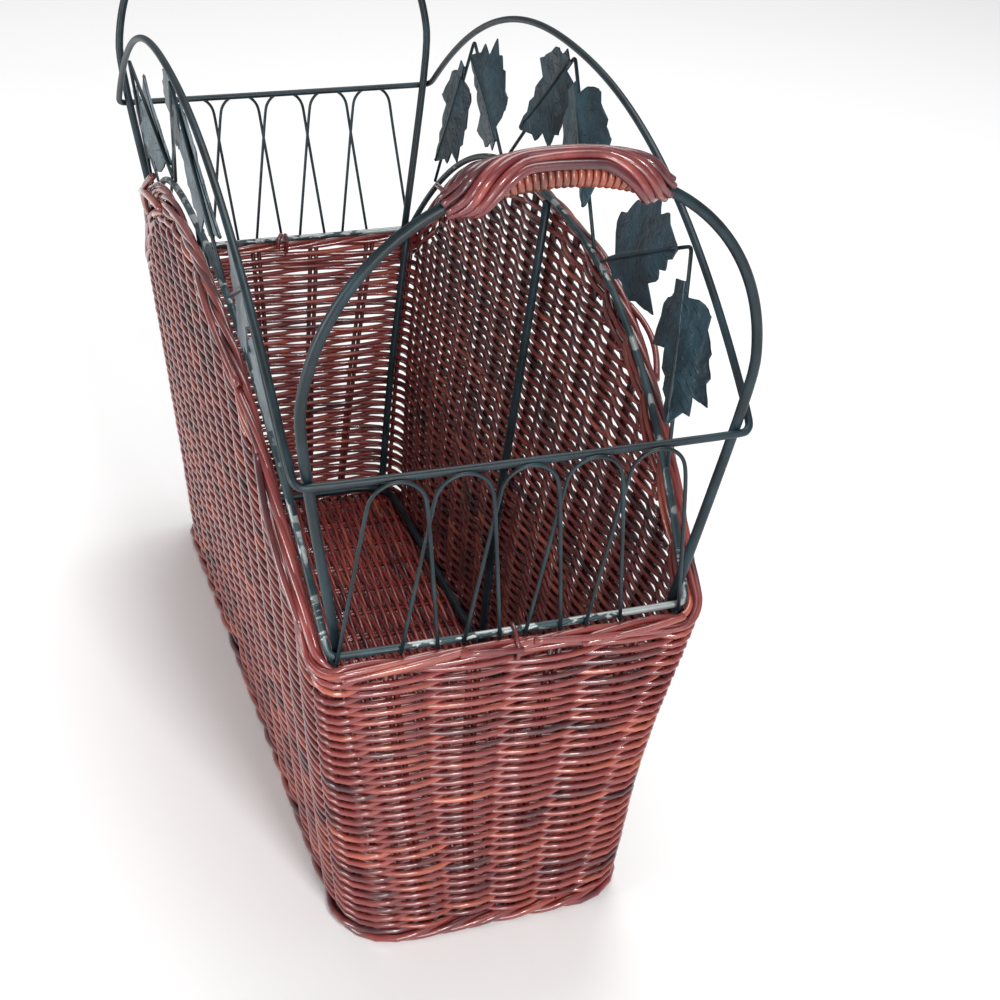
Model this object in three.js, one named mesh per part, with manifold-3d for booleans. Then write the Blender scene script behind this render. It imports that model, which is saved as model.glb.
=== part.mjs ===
// Magazine basket: a long, narrow wicker basket hung in a welded frame of round iron rod.
// The frame is a rim rail, a wider top rail that arches over both long sides, two arched end
// handles with bound grips, hoops of thin wire at the ends and stems with sheet leaves at the sides.
// Units are millimetres, +Z is up, Y runs along the basket, and the origin is on the floor
// under the middle. Rods that are welded together on the real basket keep a gap of weldGap.

import * as THREE from "three";
import { LoftGeometry } from "three/addons/geometries/LoftGeometry.js";
import { mergeVertices } from "three/addons/utils/BufferGeometryUtils.js";
import Module from "manifold-3d";

const wasm = await Module();
wasm.setup();

// Driving dimensions
const rimLength = 460; // rim rail, between the centrelines of its end bars
const rimWidth = 166; // rim rail, between its corners
const rimHeight = 190; // end bars of the rim rail above the floor
const rimRise = 107; // how far the rim arches above its end bars at the middle of a long side
const rimCrownShare = 2.6; // power of the rim arch: 2 is a parabola, more is a flatter crown
const topLength = 485;
const topWidth = 198;
const topHeight = 282;
const topRise = 94;
const topCrownShare = 2.25;
const topLeanShare = 0.04; // sideways lean of the top arches, per unit of height
const baseLength = 426; // wicker wall at the floor, outside
const baseWidth = 146;
const baseCorner = 30; // outside radius of the upright corners at the floor
const wallThick = 5.6;
const wallWaist = 1.5; // how far the walls draw in between rim and foot
const wallSway = 1.5; // how far the waist stands to the left
const footTwistDeg = 0.85; // how far the foot is turned against the rim
const weldGap = 0.3;

// Iron rods and wires
const railRadius = 1.8;
const handleRadius = 2.3;
const postRadius = 2.3;
const hoopRadius = 0.9;
const stemRadius = 1;
const rimBend = 5; // centreline bend radius at the rail's corners
const topBend = 6;
const springHeight = 305; // where a handle's legs turn into its arch
const handleHeight = 409.6; // centreline at the top of the arch
const handlePowerShare = 2.1; // roundness of the arch: 2 is an ellipse

// Borders and floor of the wicker
const rimBorderHalfWidth = 3;
const rimBorderHalfHeight = 4.2;
const rimBorderDrop = 1.5; // top of the border below the centreline of the rim rail
const footHeight = 8;
const footHalfWidth = 4.5;
const footInset = 0.3; // inner face of the foot outside the wall's inner face
const floorUnderside = 2;
const floorRelief = 1.5; // depth of the hollows between the floor's cross sticks
const floorSticks = 16;
const stakeSwell = 0.9; // how far the wall stands out at its stakes
const stakePinch = 1.7; // how far each face draws in halfway between two stakes
const sideSpaces = 16; // between stakes, from the middle of one corner to the next
const endSpaces = 5;
const tieRadius = 1;
const cutOverrun = 8; // how far a cut reaches past the wall

// Grips
const gripLength = 88; // measured straight across
const coreRadius = 4.3;
const caneHalfWidth = 1.15;
const caneHalfThick = 0.8;
const caneTurns = 24;
const wrapMargin = 9; // from the end of the grip to the winding, where the strands tuck in
const coreMargin = 8; // from the end of the grip to the reeds under the winding
const probeShare = 0.001; // of the grip's length, over which its direction is measured
const strandRadius = 1.9;
const strandEndRadius = 1.1;
const strandCount = 4;
const strandSpreadDeg = 30; // angle between strands at the middle of the grip
const strandEndSpreadDeg = 46;
const strandTwistDeg = 130; // how far the strands wind towards each end
const strandTwistPowerShare = 1.4; // how gently the winding starts
const strandStraightShare = 0.35; // share of the half grip where the strands run straight
const strandTuck = 6; // length over which the ends tuck in

// Hoops, stems and leaves
const hoopCount = 5;
const hoopPitch = 28.3;
const hoopTopRadius = 12.5;
const hoopFootHalf = 22.5;
const hoopShiftNear = -1; // sideways, of all hoops of one end
const hoopShiftFar = 4;
const stemFootMiddle = 68; // where the stems stand on the rim arch, along Y
const stemFootInner = 79;
const stemApexOuter = 161;
const stemFootOuter = 188;
const stemBend = 3;
const leafThick = 0.8;
const leafLengthShare = 0.6522; // of the height between the rails, in which the leaves hang
const leafWidthShare = 0.4333; // half the width of a leaf, as a share of its length

const X = new THREE.Vector3(1, 0, 0);
const Y = new THREE.Vector3(0, 1, 0);
const Z = new THREE.Vector3(0, 0, 1);
const point = (x, y, z) => new THREE.Vector3(x, y, z);
const mix = (a, b, share) => a + (b - a) * share;

// Solids

// Positive when the faces look outwards. It is measured from a point in the body's own end.
function signedVolume(geometry, from) {
  const at = geometry.getAttribute("position");
  const order = geometry.index.array;
  const corner = (i) => point(0, 0, 0).fromBufferAttribute(at, order[i]).sub(from);
  let sum = 0;
  for (let i = 0; i < order.length; i += 3) sum += corner(i).dot(corner(i + 1).cross(corner(i + 2)));
  return sum;
}

// Skins the sections into one closed solid. A ring joins its last section to its first.
function loft(sections, ring = false) {
  const rows = ring ? [...sections, sections[0]] : sections;
  const caps = { capStart: !ring, capEnd: !ring };
  const made = new LoftGeometry(rows, caps);
  if (signedVolume(made, sections[0][0]) > 0) return made;
  return new LoftGeometry(rows.map((row) => [...row].reverse()), caps);
}

// Direction of travel at each point of a path, halfway between the runs that meet there.
function tangents(path, ring) {
  const last = path.length - 1;
  return path.map((p, i) => {
    const before = path[i > 0 ? i - 1 : ring ? last : 0];
    const after = path[i < last ? i + 1 : ring ? 0 : last];
    const arriving = p.clone().sub(before).normalize();
    const leaving = after.clone().sub(p).normalize();
    return arriving.add(leaving).normalize();
  });
}

// A round rod along a path. The side vector is one that the path never follows.
function rod(path, radius, side, { ring = false, sides = 8 } = {}) {
  const along = tangents(path, ring);
  const sections = path.map((p, i) => {
    const u = along[i].clone().cross(side).normalize();
    const v = along[i].clone().cross(u);
    return Array.from({ length: sides }, (_, k) => {
      const angle = ((k + 0.5) / sides) * 2 * Math.PI;
      const r = typeof radius === "function" ? radius(i / (path.length - 1)) : radius;
      return p.clone().addScaledVector(u, r * Math.cos(angle)).addScaledVector(v, r * Math.sin(angle));
    });
  });
  return loft(sections, ring);
}

// The round bend that replaces a sharp corner between its two neighbours.
function bend(before, corner, after, radius, steps) {
  const back = before.clone().sub(corner).normalize();
  const on = after.clone().sub(corner).normalize();
  const half = back.angleTo(on) / 2;
  const toCentre = back.clone().add(on).normalize();
  const centre = corner.clone().addScaledVector(toCentre, radius / Math.sin(half));
  const first = corner.clone().addScaledVector(back, radius / Math.tan(half)).sub(centre);
  const axis = back.clone().cross(on).normalize();
  const sweep = -(Math.PI - 2 * half);
  return Array.from({ length: steps + 1 }, (_, k) =>
    first.clone().applyAxisAngle(axis, (sweep * k) / steps).add(centre),
  );
}

function solidOf(geometry) {
  const bare = new THREE.BufferGeometry();
  bare.setAttribute("position", geometry.getAttribute("position"));
  bare.setIndex(geometry.index);
  const merged = mergeVertices(bare);
  const triVerts = new Uint32Array(merged.index.array);
  return new wasm.Manifold(
    new wasm.Mesh({ numProp: 3, vertProperties: merged.attributes.position.array, triVerts }),
  );
}

function geometryOf(solid) {
  const mesh = solid.getMesh();
  const geometry = new THREE.BufferGeometry();
  geometry.setAttribute("position", new THREE.BufferAttribute(mesh.vertProperties, 3));
  geometry.setIndex(new THREE.BufferAttribute(mesh.triVerts, 1));
  return geometry;
}

// Rails

const archAt = (y, length, height, rise, power) =>
  height + rise * (1 - Math.min(1, Math.abs((2 * y) / length)) ** power);
const rimZ = (y) => archAt(y, rimLength, rimHeight, rimRise, rimCrownShare);
const topZ = (y) => archAt(y, topLength, topHeight, topRise, topCrownShare);

// Inner face of the wicker wall at a height: half sizes and corner radius.
const rimInner = railRadius + weldGap; // from the rail's centreline out to the wall
const innerCornerRim = rimBend + rimInner;
function innerFace(z) {
  const share = z / rimHeight;
  const below = Math.min(1, share);
  const waistShare = Math.sin(Math.PI * below) ** 2;
  const waist = wallWaist * waistShare;
  return {
    x: mix(baseWidth / 2 - wallThick, rimWidth / 2 + rimInner, share) - waist,
    y: mix(baseLength / 2 - wallThick, rimLength / 2 + rimInner, share) - waist,
    corner: mix(baseCorner - wallThick, innerCornerRim, below),
    shift: -wallSway * waistShare,
    turn: THREE.MathUtils.degToRad(footTwistDeg) * (1 - below) ** 2,
  };
}

const rimX = (y) => innerFace(rimZ(y)).x - rimInner;
const topX = (y) => topWidth / 2 + topLeanShare * (topZ(y) - topHeight);
const endLean = (topLength - rimLength) / 2 / (topHeight - rimHeight);
const endY = (z) => rimLength / 2 + endLean * (z - rimHeight);

// A closed rail: two straight end bars, and two arches that rise along the long sides.
function arched(length, xAt, zAt, bendRadius) {
  const steps = 24;
  const arch = (side) =>
    Array.from({ length: steps + 1 }, (_, k) => {
      const y = side * mix(-length / 2, length / 2, k / steps);
      return point(side * xAt(y), y, zAt(y));
    });
  const right = arch(1);
  const left = arch(-1);
  const corner = (before, at, after) => bend(before, at, after, bendRadius, 3);
  return [
    ...corner(left[steps], right[0], right[1]),
    ...right.slice(1, steps),
    ...corner(right[steps - 1], right[steps], left[0]),
    ...corner(right[steps], left[0], left[1]),
    ...left.slice(1, steps),
    ...corner(left[steps - 1], left[steps], right[0]),
  ];
}

// Wicker

const cornerSteps = 4; // the same in every piece, so that their facets lie side by side

// Places round the basket, anticlockwise from above. A run lists its places between two corners,
// as shares from -1 to 1. k places a point on the straight runs and c is the outward direction.
// thin is 0 at a stake and 1 halfway between two, where the wall is thinnest.
function perimeter(sideRun, endRun, cornerThin = () => 0) {
  const places = [];
  const straight = (run, make) => {
    for (const { along, thin } of run) places.push({ ...make(along), thin });
  };
  const corner = (sx, sy, startDeg) => {
    for (let k = 0; k <= cornerSteps; k++) {
      const turned = k / cornerSteps;
      const angle = THREE.MathUtils.degToRad(startDeg + 90 * turned);
      places.push({ kx: sx, ky: sy, cx: Math.cos(angle), cy: Math.sin(angle), thin: cornerThin(turned) });
    }
  };
  straight(sideRun, (s) => ({ kx: 1, ky: s, cx: 1, cy: 0 }));
  corner(1, 1, 0);
  straight(endRun, (s) => ({ kx: -s, ky: 1, cx: 0, cy: 1 }));
  corner(-1, 1, 90);
  straight(sideRun, (s) => ({ kx: -1, ky: -s, cx: -1, cy: 0 }));
  corner(-1, -1, 180);
  straight(endRun, (s) => ({ kx: s, ky: -1, cx: 0, cy: -1 }));
  corner(1, -1, 270);
  return places;
}

// A straight run in even steps.
const evenly = (steps) =>
  Array.from({ length: steps - 1 }, (_, k) => ({ along: (2 * (k + 1)) / steps - 1, thin: 0 }));
const smoothPlaces = (sideSteps, endSteps) => perimeter(evenly(sideSteps), evenly(endSteps));

const thinAt = (spaces) => (1 - Math.cos(2 * Math.PI * spaces)) / 2;

// The woven wall's places. Its stakes stand at even distances from the middle of one corner to
// the middle of the next, and there is a place at each stake and one halfway to the next.
function stakePlaces() {
  const face = innerFace(rimHeight / 2);
  const quarter = (Math.PI / 2) * (face.corner + wallThick / 2);
  const run = (half, spaces) => {
    const straight = 2 * (half - face.corner);
    const pitch = (straight + quarter) / spaces;
    return Array.from({ length: 2 * spaces - 3 }, (_, k) => {
      const from = (k / 2 + 1) * pitch;
      return { along: (2 * from - quarter) / straight - 1, thin: k % 2 };
    });
  };
  const sidePitch = (2 * (face.y - face.corner) + quarter) / sideSpaces;
  const cornerThin = (turned) => thinAt((Math.abs(turned - 1 / 2) * quarter) / sidePitch);
  return perimeter(run(face.y, sideSpaces), run(face.x, endSpaces), cornerThin);
}

// A point on the wall's inner face, moved outwards by out.
function wallPoint(place, z, out = 0) {
  const face = innerFace(z);
  return point(
    face.shift + place.kx * (face.x - face.corner) + (face.corner + out) * place.cx,
    place.ky * (face.y - face.corner) + (face.corner + out) * place.cy,
    z,
  ).applyAxisAngle(Z, face.turn);
}

// The rim's line on the wall's inner face, with the directions out of the wall and down it.
function rimLine(places) {
  const line = places.map((place) => {
    const flat = wallPoint(place, rimHeight);
    const z = rimZ(flat.y);
    const at = wallPoint(place, z);
    return Math.abs(place.cy) < 1e-9 ? point(at.x, flat.y, z) : at;
  });
  const along = tangents(line, true);
  return line.map((at, i) => {
    const out = point(places[i].cx, places[i].cy, 0).projectOnPlane(along[i]).normalize();
    const down = out.clone().cross(along[i]).normalize();
    if (down.z > 0) down.negate();
    return { at, out, down };
  });
}

// Everything that the wall's top edge drops below the rim line.
const borderCentreDrop = rimBorderDrop + rimBorderHalfHeight;
const wallTopDrop = borderCentreDrop + rimBorderHalfHeight + weldGap;

// Heights, as shares of the rim's, at which the wall and the posts bend with its waist.
const waistShares = [0.25, 0.48, 0.72];
const waistLevels = waistShares.map((share) => share * rimHeight);

function wickerSides() {
  const places = stakePlaces();
  const line = rimLine(places);
  const footTop = footHeight + weldGap;
  const sections = places.map((place, i) => {
    const { at, down } = line[i];
    const zTop = at.z + down.z * wallTopDrop;
    const flatAlong = point(-place.cy, place.cx, 0);
    const slide = flatAlong.multiplyScalar(down.dot(flatAlong) * wallTopDrop);
    const top = (out) => {
      const flat = wallPoint(place, zTop, out);
      if (Math.abs(place.cy) < 1e-9) flat.y = at.y;
      return flat.add(slide);
    };
    const inner = stakePinch * place.thin;
    const outer = wallThick + stakeSwell - inner;
    return [
      wallPoint(place, footTop, inner),
      wallPoint(place, footTop, outer),
      ...waistLevels.map((z) => wallPoint(place, z, outer)),
      top(outer),
      top(inner),
      ...waistLevels.map((z) => wallPoint(place, z, inner)).reverse(),
    ];
  });
  return loft(sections, true);
}

// The plaited rim, an oval roll that lies on the wall's top edge.
function rimBorder() {
  const sides = 8;
  const sections = rimLine(smoothPlaces(28, 10)).map(({ at, out, down }) => {
    const centre = at.clone().addScaledVector(out, weldGap + rimBorderHalfWidth);
    centre.addScaledVector(down, borderCentreDrop);
    return Array.from({ length: sides }, (_, k) => {
      const angle = (k / sides) * 2 * Math.PI;
      return centre
        .clone()
        .addScaledVector(out, rimBorderHalfWidth * Math.cos(angle))
        .addScaledVector(down, rimBorderHalfHeight * Math.sin(angle));
    });
  });
  return loft(sections, true);
}

// Across the foot: out from its middle and up, as shares of its half width and height.
const footOutlineShares = [
  [-0.5, 0],
  [0.5, 0],
  [1, 0.35],
  [0.85, 0.8],
  [0.4, 1],
  [-1, 1],
  [-1, 0.3],
];

// The plaited foot, rounded outside and flat underneath, on which the basket stands.
function footBorder() {
  const middle = footInset + footHalfWidth;
  const sections = smoothPlaces(6, 4).map((place) =>
    footOutlineShares.map(([out, up]) => {
      const flat = wallPoint(place, 0, middle + out * footHalfWidth);
      flat.z = up * footHeight;
      return flat;
    }),
  );
  return loft(sections, true);
}

// The woven floor, held inside the foot. It is highest over its cross sticks.
function wickerFloor() {
  const face = innerFace(0);
  const corner = face.corner + footInset - weldGap;
  const straightX = face.x - face.corner;
  const straightY = face.y - face.corner;
  const pitch = (2 * straightY) / (floorSticks - 2);
  const bends = Array.from({ length: cornerSteps + 1 }, (_, k) => {
    const angle = ((k / cornerSteps) * Math.PI) / 2;
    return { x: straightX + corner * Math.sin(angle), y: -straightY - corner * Math.cos(angle) };
  });
  const runs = Array.from({ length: 2 * (floorSticks - 2) - 1 }, (_, k) => ({
    x: straightX + corner,
    y: ((k + 1) / 2) * pitch - straightY,
  }));
  const stations = [...bends, ...runs, ...bends.map(({ x, y }) => ({ x, y: -y })).reverse()];
  const sections = stations.map(({ x, y }) => {
    const top = footHeight - floorRelief * thinAt((y + straightY) / pitch);
    return [
      point(-x, y, floorUnderside),
      point(x, y, floorUnderside),
      point(x, y, top),
      point(-x, y, top),
    ].map((p) => p.applyAxisAngle(Z, face.turn));
  });
  return loft(sections);
}

const ringHeight = footHeight + weldGap + postRadius;
const ringInset = postRadius + weldGap;
const postInset = postRadius + 2 * weldGap;

function baseRing() {
  const path = smoothPlaces(2, 2).map((place) => wallPoint(place, ringHeight, -ringInset));
  return rod(path, postRadius, Z, { ring: true });
}

// A post from the base ring to the underside of the rim rail, against the wall's inner face.
function post(place, rimUnderside) {
  const levels = [ringHeight + postRadius + weldGap, ...waistLevels, rimUnderside];
  return rod(levels.map((z) => wallPoint(place, z, -postInset)), postRadius, X);
}

// A cane lashing round the rim bar and the border, seen across the rim: out and up from the rail.
// It turns its corners in steps of its own radius.
function tiePath(end) {
  const reach = tieRadius + weldGap;
  const inner = railRadius + reach;
  const middle = rimInner + weldGap + rimBorderHalfWidth;
  const outer = middle + rimBorderHalfWidth + reach;
  const floor = borderCentreDrop + rimBorderHalfHeight + reach;
  const outline = [
    [-inner, 0],
    [-inner * Math.SQRT1_2, inner * Math.SQRT1_2],
    [0, inner],
    [middle, rimBorderHalfHeight - borderCentreDrop + reach + tieRadius],
    [outer - tieRadius / 2, -rimBorderDrop - tieRadius],
    [outer, -borderCentreDrop],
    [outer - tieRadius, -floor + tieRadius],
    [middle, -floor],
    [0, -floor + tieRadius / 2],
    [-inner, -borderCentreDrop],
  ];
  return outline.map(([out, up]) => point(0, end * (rimLength / 2 + out), rimHeight + up));
}

// Cuts the slots under the border through which the lashings pass.
function slotted(wall) {
  let solid = solidOf(wall);
  const width = 2 * (tieRadius + weldGap);
  const depth = wallThick + 2 * cutOverrun;
  const floor = wallTopDrop + 2 * tieRadius + weldGap;
  const height = floor - wallTopDrop + cutOverrun;
  for (const end of [-1, 1]) {
    const box = new THREE.BoxGeometry(width, depth, height);
    const middle = rimLength / 2 + rimInner + wallThick / 2;
    box.translate(0, end * middle, rimHeight - floor + height / 2);
    solid = solid.subtract(solidOf(box));
  }
  return geometryOf(solid);
}

// Handles: two legs inside the rails' corners, joined by a round arch in the flared end plane.

const plumb = Math.hypot(1, endLean); // turns a distance across the end plane into one along Y
const handleInset = (railRadius + weldGap + handleRadius) * plumb;
const handleFootX = rimWidth / 2 - rimBend;
const handlePassX = topWidth / 2 - topBend;
const legLean = (handlePassX - handleFootX) / (topHeight - rimHeight);
const springX = handleFootX + legLean * (springHeight - rimHeight);
const handleY = (z) => endY(z) - handleInset;
const handleArchZ = (x) =>
  springHeight +
  (handleHeight - springHeight) *
    (1 - Math.abs(x / springX) ** handlePowerShare) ** (1 / handlePowerShare);
const handlePoint = (end, x, z) => point(x, end * handleY(z), z);

function handlePath(end) {
  const footZ = rimHeight - railRadius + weldGap;
  const archSteps = 24;
  const arch = Array.from({ length: archSteps + 1 }, (_, k) => {
    const angle = Math.PI * (1 - k / archSteps);
    const c = Math.cos(angle);
    const x = springX * Math.sign(c) * Math.abs(c) ** (2 / handlePowerShare);
    const rise = (handleHeight - springHeight) * Math.sin(angle) ** (2 / handlePowerShare);
    return handlePoint(end, x, springHeight + Math.max(0, rise));
  });
  const foot = (side) => handlePoint(end, side * (handleFootX - legLean * railRadius), footZ);
  return [foot(-1), ...arch, foot(1)];
}

// Centre and directions of a grip at a share of its length: along it, up out of the arch,
// and out towards the end of the basket.
function gripFrame(end, share) {
  const x = gripLength * (share - 0.5);
  const step = gripLength * probeShare;
  const at = (px) => handlePoint(end, px, handleArchZ(px));
  const along = at(x + step).sub(at(x - step)).normalize();
  const out = point(0, end, -endLean).normalize();
  const up = out.clone().cross(along).normalize();
  if (up.z < 0) up.negate();
  return { centre: at(x), along, up, out };
}

// A sleeve of straight reeds round the rod, which carries the winding.
function gripCore(end) {
  const sides = 8;
  const steps = 8;
  const bore = handleRadius + weldGap;
  const ringAt = (share, radius) => {
    const { centre, up, out } = gripFrame(end, share);
    return Array.from({ length: sides }, (_, k) => {
      const angle = (k / sides) * 2 * Math.PI;
      return centre
        .clone()
        .addScaledVector(up, radius * Math.cos(angle))
        .addScaledVector(out, radius * Math.sin(angle));
    });
  };
  const margin = coreMargin / gripLength;
  const shareAt = (k) => mix(margin, 1 - margin, k / steps);
  const rings = [];
  for (let k = 0; k <= steps; k++) rings.push(ringAt(shareAt(k), coreRadius));
  for (let k = steps; k >= 0; k--) rings.push(ringAt(shareAt(k), bore / Math.cos(Math.PI / sides)));
  return loft(rings, true);
}

// Flat cane wound round the core in one unbroken helix.
const wrapRadius = coreRadius + weldGap + caneHalfThick;
function gripWrap(end) {
  const stepsPerTurn = 8;
  const sides = 5;
  const steps = caneTurns * stepsPerTurn;
  const margin = wrapMargin / gripLength;
  const path = Array.from({ length: steps + 1 }, (_, k) => {
    const { centre, along, up, out } = gripFrame(end, mix(margin, 1 - margin, k / steps));
    const angle = (2 * Math.PI * k) / stepsPerTurn;
    const radial = up.multiplyScalar(Math.cos(angle)).addScaledVector(out, Math.sin(angle));
    return { at: centre.addScaledVector(radial, wrapRadius), radial, along };
  });
  const sections = path.map(({ at, radial, along }) =>
    Array.from({ length: sides }, (_, k) => {
      const angle = ((k + 0.25) / sides) * 2 * Math.PI;
      return at
        .clone()
        .addScaledVector(along, caneHalfWidth * Math.cos(angle))
        .addScaledVector(radial, caneHalfThick * Math.sin(angle));
    }),
  );
  const gap = leastGap(sections, stepsPerTurn);
  console.log("least gap between the turns of a grip, mm: " + gap.toFixed(2));
  return loft(sections);
}

// Least distance from any point of the winding to the points of the next turn.
function leastGap(sections, stepsPerTurn) {
  let least = Infinity;
  sections.forEach((section, i) => {
    for (const j of [i + stepsPerTurn - 1, i + stepsPerTurn, i + stepsPerTurn + 1])
      for (const p of section) for (const q of sections[j] ?? []) least = Math.min(least, p.distanceTo(q));
  });
  return least;
}

// One of the thicker strands laid over the top of the winding. It runs straight in the middle,
// winds down over the outside towards both ends and tucks in against the rod.
function gripStrand(end, index) {
  const steps = 20;
  const laidRadius = wrapRadius + caneHalfThick + weldGap + strandRadius;
  const tuckedRadius = handleRadius + 2 * weldGap + strandEndRadius;
  // 0 where the strand is tucked in at the grip's ends, 1 where it lies on the winding.
  const laid = (share) => {
    const toEnd = gripLength * Math.min(share, 1 - share);
    return THREE.MathUtils.smoothstep(toEnd, 0, strandTuck);
  };
  const path = Array.from({ length: steps + 1 }, (_, k) => {
    const share = k / steps;
    const { centre, up, out } = gripFrame(end, share);
    const wind = Math.max(0, Math.abs(2 * share - 1) - strandStraightShare) / (1 - strandStraightShare);
    const spread = mix(strandSpreadDeg, strandEndSpreadDeg, Math.min(1, 4 * wind));
    const place = index - (strandCount - 1) / 2;
    const twist = strandTwistDeg * wind ** strandTwistPowerShare;
    const angle = THREE.MathUtils.degToRad(place * spread + twist);
    const radius = mix(tuckedRadius, laidRadius, laid(share));
    return centre
      .addScaledVector(up, radius * Math.cos(angle))
      .addScaledVector(out, radius * Math.sin(angle));
  });
  return rod(path, (share) => mix(strandEndRadius, strandRadius, laid(share)), Y, { sides: 6 });
}

// Hoops: bent wires on the outside of the rails. One leg bows out over the next hoop's leg.

function hoopPath(end, index) {
  const centre = hoopPitch * (index - (hoopCount - 1) / 2) + (end > 0 ? hoopShiftFar : hoopShiftNear);
  const clear = (railRadius + weldGap + hoopRadius) * plumb;
  const footZ = rimHeight - rimBorderDrop + weldGap;
  const springZ = topHeight - hoopTopRadius;
  const legRise = springZ - footZ;
  const taper = (hoopFootHalf - hoopTopRadius) / legRise;
  const crossZ = springZ - (hoopPitch / 2 - hoopTopRadius) / taper;
  const passing = 2 * hoopRadius + weldGap;
  const reach = passing / taper / 2;
  const bow = (z) => {
    if (z > crossZ + reach) return passing * Math.max(0, (topHeight - z) / (topHeight - crossZ - reach));
    return passing * Math.min(1, (z - footZ) / (crossZ - reach - footZ));
  };
  const at = (x, z, lift) => point(centre + x, end * (endY(z) + clear + lift * plumb), z);
  const legX = (z) => hoopTopRadius + taper * (springZ - z);
  const left = [footZ, springZ].map((z) => at(-legX(z), z, 0));
  const crownSteps = 8;
  const crown = Array.from({ length: crownSteps - 1 }, (_, k) => {
    const angle = Math.PI * (1 - (k + 1) / crownSteps);
    const [x, z] = [hoopTopRadius * Math.cos(angle), springZ + hoopTopRadius * Math.sin(angle)];
    return at(x, z, x > 0 ? bow(z) : 0);
  });
  const rightLevels = [springZ, crossZ + reach, crossZ, crossZ - reach, footZ];
  const right = rightLevels.map((z) => at(legX(z), z, bow(z)));
  return [...left, ...crown, ...right];
}

// Stems: wires bent into a V that stands on the rim arch, with its point under the top arch.

const stemPlan = [
  { name: "far", apex: stemApexOuter, feet: [stemFootOuter, stemFootInner] },
  { name: "middle", apex: 0, feet: [stemFootMiddle, -stemFootMiddle] },
  { name: "near", apex: -stemApexOuter, feet: [-stemFootInner, -stemFootOuter] },
];

function stemPoints(side, plan) {
  const under = railRadius + weldGap + stemRadius;
  const slope = (topZ(plan.apex + stemRadius) - topZ(plan.apex - stemRadius)) / (2 * stemRadius);
  const apexZ = topZ(plan.apex) - (under + stemRadius) * Math.hypot(1, slope);
  const apex = point(side * topX(plan.apex), plan.apex, apexZ);
  const foot = (y) => {
    const lean = (rimZ(y + stemRadius) - rimZ(y - stemRadius)) / (2 * stemRadius);
    return point(side * rimX(y), y, rimZ(y) + under * Math.hypot(1, lean));
  };
  return [foot(plan.feet[0]), apex, foot(plan.feet[1])];
}

const leafLength = (topHeight - rimHeight) * leafLengthShare;
const leafHalfWidth = leafLength * leafWidthShare;

// Leaves: sheet folded along the midrib, with the stem's leg lying in the fold behind it.
// Each row runs across the leaf, from the stalk to the tip: where it crosses the midrib, and
// how far along and out it ends on the full side and on the narrow side. Lengths along are
// shares of the leaf's length, and lengths out are shares of its half width.
const leafRowShares = [
  { rib: -0.14, full: [-0.14, 0.05], narrow: [-0.13, 0.34] },
  { rib: -0.02, full: [-0.02, 0.07], narrow: [-0.02, 0.36] },
  { rib: 0.01, full: [-0.01, 0.4], narrow: [0.01, 0.42] },
  { rib: 0.04, full: [0.03, 0.64], narrow: [0.04, 0.62] },
  { rib: 0.09, full: [0.1, 0.78], narrow: [0.1, 0.78] },
  { rib: 0.18, full: [0.2, 0.74], narrow: [0.2, 0.8] },
  { rib: 0.28, full: [0.38, 0.92], narrow: [0.31, 0.93] },
  { rib: 0.35, full: [0.43, 0.86], narrow: [0.44, 1.05] },
  { rib: 0.41, full: [0.57, 0.98], narrow: [0.43, 0.5] },
  { rib: 0.48, full: [0.62, 0.88], narrow: [0.6, 0.48] },
  { rib: 0.55, full: [0.79, 1.02], narrow: [0.65, 0.3] },
  { rib: 0.66, full: [0.74, 0.58], narrow: [0.75, 0.34] },
  { rib: 0.76, full: [0.9, 0.58], narrow: [0.81, 0.16] },
  { rib: 0.85, full: [0.89, 0.38], narrow: [0.89, 0.17] },
  { rib: 1, full: [1, 0.05], narrow: [1, 0.05] },
];

// How the six leaves of a side are set, by hand: how far the leaf is turned about its stem and
// folded along it, where on the leg it starts and how far its tip curls in (both as shares of
// leafLength), and its size and breadth as shares of the standard leaf's.
const leafLooks = [
  { turnDeg: 4, foldDeg: 7, startShare: 0.45, curlShare: 0.03, sizeShare: 0.97, widthShare: 0.82 },
  { turnDeg: 9, foldDeg: 10, startShare: 0.25, curlShare: 0.05, sizeShare: 0.98, widthShare: 1 },
  { turnDeg: 6, foldDeg: 12, startShare: 0.2, curlShare: 0.05, sizeShare: 0.98, widthShare: 0.8 },
  { turnDeg: 11, foldDeg: 7, startShare: 0.38, curlShare: 0.03, sizeShare: 0.97, widthShare: 1 },
  { turnDeg: 0, foldDeg: 4, startShare: 0.15, curlShare: 0.02, sizeShare: 1.04, widthShare: 1 },
  { turnDeg: 9, foldDeg: 8, startShare: 0.4, curlShare: 0.03, sizeShare: 0.95, widthShare: 1 },
];
const risingLeaves = [1, 4]; // places in leafLooks, counted from zero
const turnedOverLeaves = [1]; // show the other face of the stamping
const leftTurnShare = -0.2; // the left side's leaves are turned a little, the other way

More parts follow.
